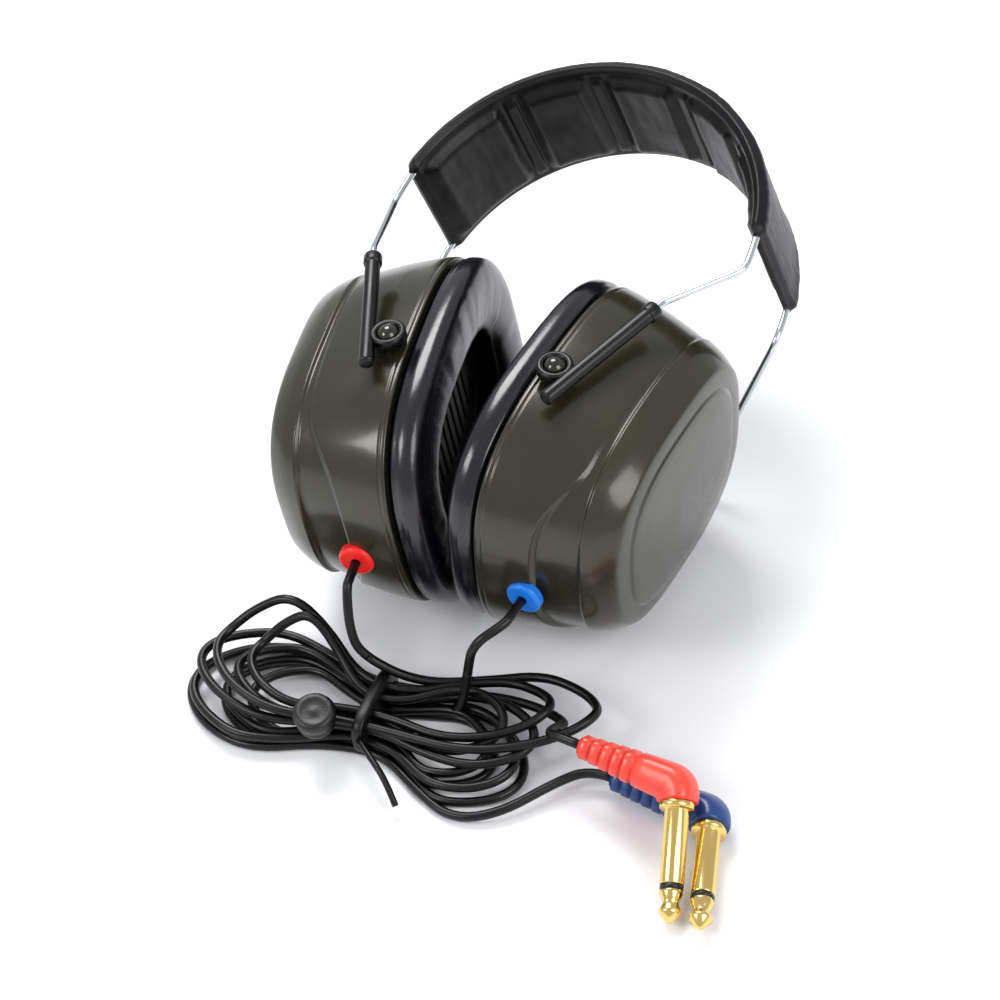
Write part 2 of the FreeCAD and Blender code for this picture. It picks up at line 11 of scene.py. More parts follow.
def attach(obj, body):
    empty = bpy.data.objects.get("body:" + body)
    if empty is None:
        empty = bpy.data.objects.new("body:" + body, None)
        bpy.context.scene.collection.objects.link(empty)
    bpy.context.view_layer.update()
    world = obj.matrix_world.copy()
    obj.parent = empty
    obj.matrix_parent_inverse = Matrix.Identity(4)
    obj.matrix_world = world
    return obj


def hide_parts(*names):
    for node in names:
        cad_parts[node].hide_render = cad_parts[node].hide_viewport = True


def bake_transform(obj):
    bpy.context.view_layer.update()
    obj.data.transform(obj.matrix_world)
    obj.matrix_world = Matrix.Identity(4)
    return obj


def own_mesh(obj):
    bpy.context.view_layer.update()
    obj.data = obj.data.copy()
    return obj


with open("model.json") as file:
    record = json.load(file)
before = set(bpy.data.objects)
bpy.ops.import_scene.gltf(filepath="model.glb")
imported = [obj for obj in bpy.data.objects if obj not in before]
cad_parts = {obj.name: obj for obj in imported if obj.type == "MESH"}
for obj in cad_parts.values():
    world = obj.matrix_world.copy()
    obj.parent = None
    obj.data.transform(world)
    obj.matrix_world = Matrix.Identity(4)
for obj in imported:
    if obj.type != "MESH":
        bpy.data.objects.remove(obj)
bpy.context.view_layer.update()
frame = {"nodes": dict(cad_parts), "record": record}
random.seed(11)
print("frame loaded")

mm = 0.001
worldShift = Vector((-3.87434, -40.18337, 45.0653))

# placement of the cup and headband frames, the same values as the CAD
posture = {"halfSpacing": 20.9, "splay": 7.1, "roll": 4.0, "lean": 0.7,
           "bandLift": 16.3, "bandYaw": -5.8, "bandRoll": -4.8, "bandOrigin": (3.1, 9.4, 6.8)}


def turn(axis, degrees):
    return Matrix.Rotation(math.radians(degrees), 3, axis)


cupTurn = turn("Z", -posture["splay"]) @ turn("Y", posture["roll"]) @ turn("X", posture["lean"])
bandTurn = turn("Z", posture["bandYaw"]) @ turn("Y", posture["bandRoll"]) @ turn("X", posture["bandLift"] - 90)


def cupPoint(p, hand):
    q = cupTurn @ Vector(p) + Vector((posture["halfSpacing"], 0, 0))
    if hand == "left":
        q.x = -q.x
    return (q + worldShift) * mm


def bandPoint(p):
    return (bandTurn @ Vector(p) + Vector(posture["bandOrigin"]) + worldShift) * mm


def tablePoint(x, y, z):
    return Vector((x + worldShift.x, y + worldShift.y, z)) * mm


# the view from the front, a little above
cameraLook = {"at": (278.81, -511.8, 570.51), "lens": 108,
              "right": (0.9211, 0.3734, -0.1105), "up": (-0.1961, 0.69, 0.6968)}
cam = bpy.data.objects.new("camera", bpy.data.cameras.new("camera"))
bpy.context.scene.collection.objects.link(cam)
bpy.context.scene.camera = cam
cam.data.lens = cameraLook["lens"]
cam.data.sensor_width = 36
cam.data.clip_start = 0.02
right = Vector(cameraLook["right"]).normalized()
up = Vector(cameraLook["up"])
up = (up - right * up.dot(right)).normalized()
back = right.cross(up)
cam.matrix_world = Matrix.Translation((Vector(cameraLook["at"]) + worldShift) * mm) @ \
    Matrix((right, up, back)).transposed().to_4x4()


# finishes

# shared noise: a mask of soft smudges, a fine height and a broad height
def surfaceGroup():
    group = bpy.data.node_groups.new("surfaceDetail", "ShaderNodeTree")
    face = group.interface
    for name, value in (("Grain scale", 900.0), ("Broad scale", 40.0)):
        face.new_socket(name=name, in_out="INPUT", socket_type="NodeSocketFloat").default_value = value
    for name in ("Smudge", "Grain", "Broad"):
        face.new_socket(name=name, in_out="OUTPUT", socket_type="NodeSocketFloat")
    nodes, links = group.nodes, group.links
    source = nodes.new("NodeGroupInput")
    sink = nodes.new("NodeGroupOutput")
    where = nodes.new("ShaderNodeTexCoord")
    noises = (("Smudge", None, 6), ("Grain", "Grain scale", 3), ("Broad", "Broad scale", 4))
    for slotName, scaleName, detail in noises:
        tex = nodes.new("ShaderNodeTexNoise")
        tex.inputs["Detail"].default_value = detail
        tex.inputs["Scale"].default_value = 55
        links.new(where.outputs["Object"], tex.inputs["Vector"])
        if scaleName:
            links.new(source.outputs[scaleName], tex.inputs["Scale"])
        links.new(tex.outputs["Fac"], sink.inputs[slotName])
    return group


detailGroup = surfaceGroup()


def material(name, colour, rough, metal=0.0, grain=0.0, grainScale=900.0, broad=0.0, broadScale=60.0,
             coat=0.0, spread=0.06, variety=0.15, leather=False, shine=0.5):
    mat = bpy.data.materials.new(name)
    mat.use_nodes = True
    nodes, links = mat.node_tree.nodes, mat.node_tree.links
    shader = nodes["Principled BSDF"]
    shader.inputs["Metallic"].default_value = metal
    shader.inputs["Coat Weight"].default_value = coat
    shader.inputs["Coat Roughness"].default_value = 0.12
    shader.inputs["Specular IOR Level"].default_value = shine
    group = nodes.new("ShaderNodeGroup")
    group.node_tree = detailGroup
    group.inputs["Grain scale"].default_value = grainScale
    group.inputs["Broad scale"].default_value = broadScale
    mix = nodes.new("ShaderNodeMix")
    mix.data_type = "RGBA"
    mix.inputs["A"].default_value = (*[c * (1 - variety) for c in colour], 1)
    mix.inputs["B"].default_value = (*[min(c * (1 + variety), 1) for c in colour], 1)
    links.new(group.outputs["Smudge"], mix.inputs["Factor"])
    links.new(mix.outputs["Result"], shader.inputs["Base Color"])
    span = nodes.new("ShaderNodeMapRange")
    span.inputs["From Min"].default_value = 0.3
    span.inputs["From Max"].default_value = 0.7
    span.inputs["To Min"].default_value = max(rough - spread, 0.02)
    span.inputs["To Max"].default_value = rough + spread
    links.new(group.outputs["Smudge"], span.inputs["Value"])
    links.new(span.outputs["Result"], shader.inputs["Roughness"])
    height = group.outputs["Grain"]
    if leather:
        cells = nodes.new("ShaderNodeTexVoronoi")
        cells.feature = "DISTANCE_TO_EDGE"
        cells.inputs["Scale"].default_value = grainScale
        where = nodes.new("ShaderNodeTexCoord")
        links.new(where.outputs["Object"], cells.inputs["Vector"])
        height = cells.outputs["Distance"]
    fine = nodes.new("ShaderNodeBump")
    fine.inputs["Strength"].default_value = grain
    fine.inputs["Distance"].default_value = 0.0002
    links.new(height, fine.inputs["Height"])
    wide = nodes.new("ShaderNodeBump")
    wide.inputs["Strength"].default_value = broad
    wide.inputs["Distance"].default_value = 0.001
    links.new(group.outputs["Broad"], wide.inputs["Height"])
    links.new(fine.outputs["Normal"], wide.inputs["Normal"])
    links.new(wide.outputs["Normal"], shader.inputs["Normal"])
    return mat


def shade(r, g, b):
    return tuple((v / 255) ** 2.2 for v in (r, g, b))


finishes = {
    "shell_plastic": material("shellPlastic", shade(50, 48, 36), 0.27, 0.35, 0.10, 1400, 0.06, 90, coat=0.35),
    "cushion_vinyl": material("cushionVinyl", shade(17, 16, 22), 0.25, 0.0, 0.10, 1500, 0.22, 110, coat=0.25),
    "inner_plastic": material("innerPlastic", shade(30, 30, 32), 0.5, 0.0, 0.2, 1600),
    "cone_paper": material("conePaper", shade(46, 43, 38), 0.8, 0.0, 0.5, 1500),
    "magnet_steel": material("magnetSteel", shade(140, 142, 146), 0.35, 1.0, 0.1, 1200),
    "liner_foam": material("linerFoam", shade(62, 63, 66), 0.9, 0.0, 0.7, 1300),
    "pivot_plastic": material("pivotPlastic", shade(34, 36, 24), 0.1, 0.5, 0.0, coat=0.8),
    "guide_plastic": material("guidePlastic", shade(8, 8, 9), 0.34, 0.0, 0.12, 1500, shine=0.38),
    "wire_steel": material("wireSteel", shade(205, 207, 210), 0.17, 1.0, 0.05, 1800),
    "band_leatherette": material("bandLeatherette", shade(11, 10, 13), 0.4, 0.0, 0.3, 1700, 0.2, 140,
                                 leather=True, shine=0.28),
    "red_rubber": material("redRubber", shade(228, 32, 26), 0.38, 0.0, 0.1, 1500),
    "blue_rubber": material("blueRubber", shade(22, 112, 212), 0.38, 0.0, 0.1, 1500),
    "red_plastic": material("redPlastic", shade(232, 66, 50), 0.34, 0.0, 0.1, 1500, coat=0.15),
    "blue_plastic": material("bluePlastic", shade(24, 58, 116), 0.34, 0.0, 0.1, 1500, coat=0.15),
    "plug_brass": material("plugBrass", shade(232, 200, 122), 0.16, 1.0, 0.04, 1500),
    "insulator_plastic": material("insulatorPlastic", shade(14, 14, 14), 0.4, 0.0, 0.1, 1500),
    "clip_plastic": material("clipPlastic", shade(10, 10, 11), 0.4, 0.0, 0.35, 1300),
    "cord_rubber": material("cordRubber", shade(10, 9, 11), 0.34, 0.0, 0.12, 1500, 0.08, 200, shine=0.35),
}
print("materials made")

for entry in frame["record"]["subparts"]:
    node = frame["nodes"][entry["node"]]
    node.data.materials.clear()
    node.data.materials.append(finishes[entry["material_slot"]])
    node.data.set_sharp_from_angle(angle=math.radians(32))
    for face in node.data.polygons:
        face.use_smooth = True


# meshes from rows of points

def newObject(name, mesh, slotName, body=None, nodes=()):
    obj = bpy.data.objects.new(name, mesh)
    bpy.context.scene.collection.objects.link(obj)
    mesh.materials.append(finishes[slotName])
    for face in mesh.polygons:
        face.use_smooth = True
    if nodes:
        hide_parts(*nodes)
    if body:
        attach(obj, body)
    return obj


# mesh through rows of points; each row is a ring when closeRows is set
def gridMesh(name, rows, closeRows=True, closeColumns=False, capStart=False, capEnd=False):
    bm = bmesh.new()
    rings = [[bm.verts.new(p) for p in row] for row in rows]
    count = len(rows[0])
    pairs = list(zip(rings, rings[1:]))
    if closeColumns:
        pairs.append((rings[-1], rings[0]))
    for a, b in pairs:
        for i in range(count if closeRows else count - 1):
            j = (i + 1) % count
            bm.faces.new((a[i], a[j], b[j], b[i]))
    if capStart:
        bm.faces.new(list(reversed(rings[0])))
    if capEnd:
        bm.faces.new(rings[-1])
    bmesh.ops.recalc_face_normals(bm, faces=bm.faces)
    mesh = bpy.data.meshes.new(name)
    bm.to_mesh(mesh)
    bm.free()
    return mesh


# tube mesh along path points, with a radius at each point
def sweep(name, path, radii, sides=14, power=1.0):
    path = [Vector(p) for p in path]
    side = None
    rows = []
    for i, p in enumerate(path):
        way = (path[min(i + 1, len(path) - 1)] - path[max(i - 1, 0)]).normalized()
        if side is None:
            side = way.orthogonal().normalized()
        side = (side - way * side.dot(way)).normalized()
        other = way.cross(side)
        r = radii[i] if hasattr(radii, "__len__") else radii
        row = []
        for k in range(sides):
            a = 2 * math.pi * k / sides
            c, s = math.cos(a), math.sin(a)
            across = side * math.copysign(abs(c) ** power, c) + other * math.copysign(abs(s) ** power, s)
            row.append(p + across * r)
        rows.append(row)
    return gridMesh(name, rows, capStart=True, capEnd=True)


def smooth(t):
    t = min(max(t, 0.0), 1.0)
    return t * t * (3 - 2 * t)


# two leads that meet in one tied coil
cordLook = {"diameter": 2.6, "leftLobe": 59.0, "rightLobe": 52.0, "lobeWidth": 26.0, "centre": (-13.0, -62.0),
            "pitch": 2.72, "waistFirst": 1.45, "laps": 2.0, "base": 1.6, "stand": 13.0,
            "rightReach": (1.04, 0.97, 1.1, 1.24), "rightWidth": (0.92, 0.8, 0.72, 0.74),
            "rightTilt": (-12.0, -9.0, 1.0, 12.0), "leftReach": (1.02, 0.96, 1.0, 0.97),
            "leftWidth": (1.0, 0.92, 0.86, 0.9), "leftTilt": (-1.0, 3.0, -4.0, -9.0)}


def between(values, at):
    low = min(int(at), len(values) - 2)
    return values[low] + (values[low + 1] - values[low]) * (at - low)


def hankPoint(phase, column, layer):
    s = 0.64 + 0.12 * column
    c, n = math.cos(phase), math.sin(phase)
    side = "right" if c > 0 else "left"
    length = cordLook[side + "Lobe"] * between(cordLook[side + "Reach"], layer)
    waist = cordLook["waistFirst"] + cordLook["pitch"] * column
    lobe = cordLook["lobeWidth"] * s * between(cordLook[side + "Width"], layer)
    spreadOut = smooth((abs(c) - 0.06) / 0.62)
    y = n * (waist + (lobe - waist) * spreadOut)
    x = c * length * s
    tilt = math.radians(between(cordLook[side + "Tilt"], layer)) * spreadOut
    x, y = x * math.cos(tilt) - y * math.sin(tilt), x * math.sin(tilt) + y * math.cos(tilt)
    z = cordLook["base"] + cordLook["pitch"] * layer
    z += spreadOut * layer * (0.9 + 0.7 * math.sin(phase * 2 + 0.6))
    if c > 0:
        z -= 4.6 * smooth((y - 8) / 10) * smooth(layer - 1) * smooth(c * 5)
    z += cordLook["stand"] * smooth(layer - 2) * math.exp(-((phase % (2 * math.pi) - 2.35) / 0.4) ** 2)
    return tablePoint(cordLook["centre"][0] + x, cordLook["centre"][1] + y, z)


def hankRun(top, bottom, startPhase, direction, endPhase):
    points = []
    total = 2 * cordLook["laps"] + 0.5
    extra = ((endPhase - startPhase) * direction / (2 * math.pi)) % 1.0
    total = math.floor(total) + extra
    steps = int(total * 20)
    for i in range(steps + 1):
        lap = total * i / steps
        middle = total / 2
        if lap < middle:
            column = 3.0 * (1 - min(lap / (middle - 0.25), 1.0))
        else:
            column = 3.0 * min(max((lap - middle - 0.25) / (middle - 0.25), 0.0), 1.0)
        layer = top + (bottom - top) * smooth((lap - middle + 0.25) / 0.5)
        points.append(hankPoint(startPhase + direction * 2 * math.pi * lap, column, layer))
    return points


# the even points that a smooth open curve through this route follows
def nurbsLine(name, points):
    curve = bpy.data.curves.new(name, "CURVE")
    curve.dimensions = "3D"
    spline = curve.splines.new("NURBS")
    spline.points.add(len(points) - 1)
    for target, p in zip(spline.points, points):
        target.co = (*p, 1)
    spline.order_u = 3
    spline.use_endpoint_u = True
    spline.resolution_u = 6
    holder = bpy.data.objects.new(name, curve)
    bpy.context.scene.collection.objects.link(holder)
    bpy.context.view_layer.update()
    mesh = bpy.data.meshes.new_from_object(holder.evaluated_get(bpy.context.evaluated_depsgraph_get()))
    line = [v.co.copy() for v in mesh.vertices]
    bpy.data.objects.remove(holder)
    bpy.data.meshes.remove(mesh)
    kept = [line[0]]
    for p in line[1:]:
        if (p - kept[-1]).length > 1e-5:
            kept.append(p)
    return kept


# cuts the line at those lengths along it
def splitLine(line, lengths):
    parts, part, gone = [], [line[0]], 0.0
    marks = list(lengths)
    for a, b in zip(line, line[1:]):
        step = (b - a).length
        while marks and gone + step >= marks[0]:
            cut = a.lerp(b, (marks[0] - gone) / step)
            part.append(cut)
            parts.append(part)
            part = [cut]
            marks.pop(0)
        part.append(b)
        gone += step
    parts.append(part)
    return parts


def lineLength(line):
    return sum((b - a).length for a, b in zip(line, line[1:]))


shellLook = {"height": 47.1, "width": 39.0, "depth": 36.6, "share": 0.76, "side": 1.31, "oval": 2.79,
             "rim": -4.9, "rise": 8.0}


def shellShare(t):
    side = shellLook["side"]
    return shellLook["share"] + (1 - shellLook["share"]) * max(1 - t ** side, 0) ** (1 / side)


# the cord leaves its grommet low on the shell's side wall; lengths as the shell's below
grommetAt = {"x": 8.5, "z": -6.0, "lift": 0.9, "leads": (-2.6, -8.0, -11.5)}


def grommetMouth(hand):
    look = shellLook
    along = (grommetAt["x"] - look["rim"]) / look["depth"]
    seat = look["rise"] - look["height"] * shellShare(along) + grommetAt["lift"]
    return [cupPoint((grommetAt["x"], seat + d, grommetAt["z"]), hand) for d in grommetAt["leads"]]


def cordRoute(hand):
    mouth = grommetMouth(hand)
    if hand == "left":
        hank = hankRun(3, 2, math.radians(82), -1, math.radians(22))
        way = [tablePoint(-21.5, -53.0, 27.0), tablePoint(-19.0, -54.0, 18.5)]
        tail = [tablePoint(38.5, -57, 12), tablePoint(38.5, -63.0, 16.2)]
    else:
        hank = hankRun(1, 0, math.radians(84), 1, math.radians(-48))
        way = [tablePoint(16.3, -55.2, 35.4), tablePoint(13.6, -54.8, 25.0), tablePoint(10.1, -54.7, 9.2),
               tablePoint(6.7, -54.8, 5.1), tablePoint(1.4, -54.5, 4.3)]
        tail = [tablePoint(31, -82.5, 3.0), tablePoint(42, -69.5, 4.6)]
    return mouth + way + hank + tail


plugLook = {
    "left": {"tip": (85.5, -102.5, 3.3), "heading": -76.0, "pitch": 22.0, "armHeading": 172.0, "armPitch": 3.0},
    "right": {"tip": (94.0, -103.2, 5.5), "heading": -75.0, "pitch": 0.0, "armHeading": 172.0, "armPitch": 0.0},
}


def plugAxes(hand):
    look = plugLook[hand]
    h, p = math.radians(look["heading"]), math.radians(look["pitch"])
    a, b = math.radians(look["armHeading"]), math.radians(look["armPitch"])
    way = Vector((math.cos(h) * math.cos(p), math.sin(h) * math.cos(p), -math.sin(p)))
    arm = Vector((math.cos(a) * math.cos(b), math.sin(a) * math.cos(b), math.sin(b)))
    tip = tablePoint(*look["tip"])
    return way, arm, tip, tip - way * 36.1 * mm


# turned mesh: profile is (distance along way, radius) in millimetres
def revolve(name, at, way, profile, sides=48):
    side = way.orthogonal().normalized()
    other = way.cross(side)
    rows = []
    for along, radius in profile:
        rows.append([at + way * along * mm + (side * math.cos(a) + other * math.sin(a)) * radius * mm
                     for a in (2 * math.pi * k / sides for k in range(sides))])
    return gridMesh(name, rows, capStart=True, capEnd=True)


# one moulding: ribbed strain relief, plain arm, then a bend round to the metal
def mouldedBody(name, elbow, way, arm):
    bend = 3.0
    path, radii = [], []
    ribs, start, end = 5, 12.5, 28.6
    pitch = (end - start) / ribs
    for i in reversed(range(ribs)):
        at = start + pitch * i
        big = 4.4 + (3.2 - 4.4) * i / (ribs - 1)
        for share, radius in ((0.98, big - 0.9), (0.82, big - 0.9), (0.74, big - 0.12), (0.66, big),
                              (0.14, big), (0.06, big - 0.15), (0.0, big - 0.9)):
            path.append(elbow + arm * (at + pitch * share) * mm)
            radii.append(radius * mm)
    path.insert(0, elbow + arm * 28.9 * mm)
    radii.insert(0, 1.6 * mm)
    for along, radius in ((12.0, 3.8), (11.4, 4.5), (8.5, 4.75), (bend, 5.0)):
        path.append(elbow + arm * along * mm)
        radii.append(radius * mm)
    for i in range(1, 12):
        a = i / 12
        path.append(elbow + arm * bend * (1 - a) ** 2 * mm + way * 4.6 * a ** 2 * mm * 0.7)
        radii.append((5.0 + 0.2 * math.sin(math.pi * a)) * mm)
    for along, radius in ((4.0, 5.0), (4.45, 4.85), (4.6, 4.5)):
        path.append(elbow + way * along * mm)
        radii.append(radius * mm)
    return sweep(name, path, radii, 40, 0.72)


for hand in ("left", "right"):
    way, arm, tip, elbow = plugAxes(hand)
    slotName = "red_plastic" if hand == "left" else "blue_plastic"
    headObject = newObject("plugMoulding_" + hand, mouldedBody("plugMoulding", elbow, way, arm), slotName,
                           "band_left", ["plug_body_" + hand])
    root = elbow + way * 4.6 * mm
    sleeve = revolve("plugSleeveShown_" + hand, root, way,
                     [(-1.5, 3.1), (0, 3.1), (0.0, 4.3), (0.3, 4.6), (1.6, 4.6), (2.0, 4.2), (2.05, 3.3),
                      (2.2, 3.175), (21.2, 3.175), (21.5, 3.1), (21.6, 2.9)])
    sleeveObject = newObject("plugSleeveShown_" + hand, sleeve, "plug_brass", "band_left", ["plug_sleeve_" + hand])
    ring = revolve("plugRingShown_" + hand, root, way,
                   [(21.55, 2.6), (21.55, 3.05), (22.95, 3.05), (22.95, 2.6)])
    ringObject = newObject("plugRingShown_" + hand, ring, "insulator_plastic", "band_left",
                           ["plug_insulator_" + hand])
    point = revolve("plugTipShown_" + hand, root, way,
                    [(22.9, 2.7), (22.95, 2.95), (23.4, 3.1), (24.0, 3.1), (25.6, 2.35), (26.4, 2.15), (27.0, 2.3),
                     (28.0, 2.9), (28.6, 3.0), (29.2, 2.75), (30.4, 1.7), (31.2, 0.9), (31.5, 0.35)])
    pointObject = newObject("plugTipShown_" + hand, point, "plug_brass", "band_left", ["plug_tip_" + hand])
print("plugs made")

cordRadius = cordLook["diameter"] / 2 * mm
for hand in ("left", "right"):
    way, arm, tip, elbow = plugAxes(hand)
    route = cordRoute(hand) + [elbow + arm * 35.5 * mm, elbow + arm * 28.4 * mm]
    line = nurbsLine("cordLine_" + hand, route)
    joined = [("cup_" + hand, "front_guide_" + hand), ("front_guide_" + hand, "band_" + hand)]
    if hand == "right":
        joined.append(("band_right", "band_left"))
    parts = splitLine(line, [0.0305 * (i + 1) for i in range(len(joined))])
    for number, (part, pair) in enumerate(zip(parts, joined + [None]), 1):
        obj = newObject("cord%d_%s" % (number, hand), sweep("cord", part, cordRadius), "cord_rubber")
        if pair:
            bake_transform(obj)
        else:
            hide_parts("cord_lead_" + hand, "cord_tail_" + hand, "cord_hank")
            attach(obj, "band_left")
        print("cord", hand, number, round(lineLength(part), 3))

# the coil's tie and the round clip on one lead
tieLook = {"width": 5.0, "half": 12.3, "top": 13.6, "low": 0.35, "wall": 0.9}
rows = []
for k, (dx, grow) in enumerate(((-1.5, -0.3), (-1.25, 0.0), (-0.5, 0.16), (0.5, 0.16), (1.25, 0.0), (1.5, -0.3))):
    row = []
    for i in range(64):
        a = 2 * math.pi * i / 64
        c, s = math.cos(a), math.sin(a)
        power = 2 / 3.6
        y = (tieLook["half"] + grow) * math.copysign(abs(c) ** power, c)
        half = (tieLook["top"] - tieLook["low"]) / 2
        z = tieLook["low"] + half + (half + grow * 0.5) * math.copysign(abs(s) ** power, s)
        ripple = 0.18 * noise.noise(Vector((dx, y * 0.6, z * 0.6)))
        row.append(tablePoint(cordLook["centre"][0] + dx + ripple, cordLook["centre"][1] + y, z))
    rows.append(row)
tie = newObject("tieBand", gridMesh("tieBand", rows, capStart=True, capEnd=True), "cord_rubber", "band_left",
                ["cord_tie"])
tieEnd = [tablePoint(-12, -74.6, 9), tablePoint(-6, -80, 10), tablePoint(0, -84.5, 8.0), tablePoint(4, -88.5, 3.5)]
tieTail = newObject("tieTail", sweep("tieTail", nurbsLine("tieLine", tieEnd), 0.9 * mm, 10), "cord_rubber",
                    "band_left")
clipAt = tablePoint(-24.0, -74.5, 12.0)
clipMesh = revolve("clipShown", clipAt, Vector((0.12, -0.2, 1)).normalized(),
                   [(0, 4.4), (0.4, 5.1), (1.6, 5.4), (2.4, 5.0), (3.0, 5.05), (3.4, 5.6), (5.6, 5.9), (6.6, 5.5),
                    (7.2, 4.9), (7.0, 3.6), (6.7, 2.4), (6.9, 1.2), (7.0, 0.3)])
clip = newObject("clipShown", clipMesh, "clip_plastic", "band_left", ["cord_clip"])
print("tie and clip made")

# cup shells, cushions and wire guides
def ovalAt(x, halfY, halfZ, a, power=None):
    power = 2 / (power or shellLook["oval"])
    c, s = math.cos(a), math.sin(a)
    return Vector((x, shellLook["rise"] + halfY * math.copysign(abs(s) ** power, s),
                   halfZ * math.copysign(abs(c) ** power, c)))


def shellRows(hand):
    rows = []
    count = 192
    steps = [i / 110 for i in range(111)]

    def ring(x, share, dent=0.0):
        out = []
        for i in range(count):
            a = 2 * math.pi * i / count
            p = ovalAt(x, shellLook["height"] * share - dent, shellLook["width"] * share - dent, a)
            out.append(p)
        return out
    rows.append(ring(shellLook["rim"] + 2.0, 1.0, 2.3))
    rows.append(ring(shellLook["rim"] + 0.1, 1.0, 2.3))
    rows.append(ring(shellLook["rim"], 1.0, 1.9))
    rows.append(ring(shellLook["rim"], 1.0, 0.5))
    for t in steps:
        dent = 0.0
        if t < 0.02:
            dent = 0.25 * (1 - t / 0.02)
        if 0.035 < t < 0.055:
            dent = 0.3 * math.sin(math.pi * (t - 0.035) / 0.02)
        rows.append(ring(shellLook["rim"] + shellLook["depth"] * t, shellShare(t), dent))
    x = shellLook["rim"] + shellLook["depth"]
    for share, lift in ((0.745, 0.2), (0.72, 0.42), (0.68, 0.66), (0.66, 0.72), (0.65, 0.7), (0.642, 0.85),
                        (0.634, 1.2), (0.62, 1.36), (0.56, 1.55), (0.45, 1.8), (0.3, 2.0), (0.15, 2.12),
                        (0.04, 2.15)):
        rows.append(ring(x + lift, share))
    return rows


# a scoop on the side walls, from a slanting crease above the cord to the edge of the outer bulge
def bulged(p):
    x, y, z = p
    if x < 2 or x > 32.5:
        return p
    crease = 8.7 + 10.1 * smooth((y + 41) / 24) + max(y + 17, 0) * 0.03
    bulge = 22.0 + abs(y - 5) * 0.01
    fade = smooth((32.5 - x) / 7)
    grow = 0.7 * smooth((x - bulge + 0.6) / 1.2) * fade
    room = max(bulge - crease, 2.0)
    along = (x - crease) / room
    scoop = 0.0
    if 0 < along < 1.1:
        scoop = min(0.15 * room, 2.0) * smooth(along * room / 1.2) * (1 - 0.45 * along) * smooth((1.1 - along) * 8)
    out = Vector((0, (y - shellLook["rise"]) / shellLook["height"], z / shellLook["width"])).normalized()
    return p + out * (grow - scoop)


for hand in ("left", "right"):
    rows = [[cupPoint(bulged(p), hand) for p in row] for row in shellRows(hand)]
    shell = newObject("shellShown_" + hand, gridMesh("shellShown", rows, capEnd=True), "shell_plastic",
                      "cup_" + hand, ["shell_" + hand, "face_panel_" + hand])


cushionLook = {"thickness": 9.9, "holeHeight": 29.0, "holeWidth": 20.0, "fill": 0.8, "squashedTo": 0.4}


# padded ring: the section is full and round, drawn in at an outer seam and at the inner edge
def cushionRows(hand):
    thickness, outerY, outerZ = cushionLook["thickness"], shellLook["height"], shellLook["width"]
    holeY, holeZ = cushionLook["holeHeight"], cushionLook["holeWidth"]
    section = []
    count = 44
    for k in range(count):
        b = 2 * math.pi * k / count
        c, s = math.cos(b), math.sin(b)
        u = 0.5 + 0.5 * math.copysign(abs(c) ** 0.62, c)
        v = 0.5 * math.copysign(abs(s) ** 0.62, s)
        section.append((u, v, b))
    rows = []
    around = 288
    for i in range(around):
        a = 2 * math.pi * i / around
        row = []
        inner = ovalAt(0, holeY, holeZ, a)
        outer = ovalAt(0, outerY, outerZ, a)
        for u, v, b in section:
            p = inner.lerp(outer, u)
            x = shellLook["rim"] - thickness / 2 - v * thickness
            crown = math.sin(math.pi * min(max(u, 0), 1))
            if v > 0:
                x -= 0.55 * crown - 0.3
            seam = math.exp(-((v + 0.22) / 0.035) ** 2) * (1 if u > 0.9 else 0)
            seam += 0.7 * math.exp(-((u - 0.1) / 0.04) ** 2) * (1 if v > 0.35 else 0)
            w = noise.noise(Vector((inner.y * 0.11, inner.z * 0.11, v * 2 + (7 if hand == "left" else 0))))
            radial = (outer - inner).normalized()
            pucker = 0.22 * math.sin(a * 46 + 3 * w) * max(w, 0) * math.exp(-((u - 0.2) / 0.3) ** 2)
            wrinkle = 0.35 * noise.noise(Vector((inner.y * 0.35, inner.z * 0.35, u * 1.3))) * crown
            p = p - radial * seam * 0.5
            x += seam * 0.35 * (1 if v > 0.35 else 0) + pucker + wrinkle * 0.6
            row.append(cupPoint((max(x, shellLook["rim"] - thickness - 0.45), p.y, p.z), hand))
        rows.append(row)
    return rows


for hand in ("left", "right"):
    mesh = gridMesh("cushionShown", cushionRows(hand), closeColumns=True)
    cushion = newObject("cushionShown_" + hand, mesh, "cushion_vinyl", "cup_" + hand, ["cushion_" + hand])
    axis = cupTurn @ Vector((1, 0, 0))
    if hand == "left":
        axis.x = -axis.x
    tuple(cupPoint((shellLook["rim"], shellLook["rise"], 0), hand))
    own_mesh(cushion)

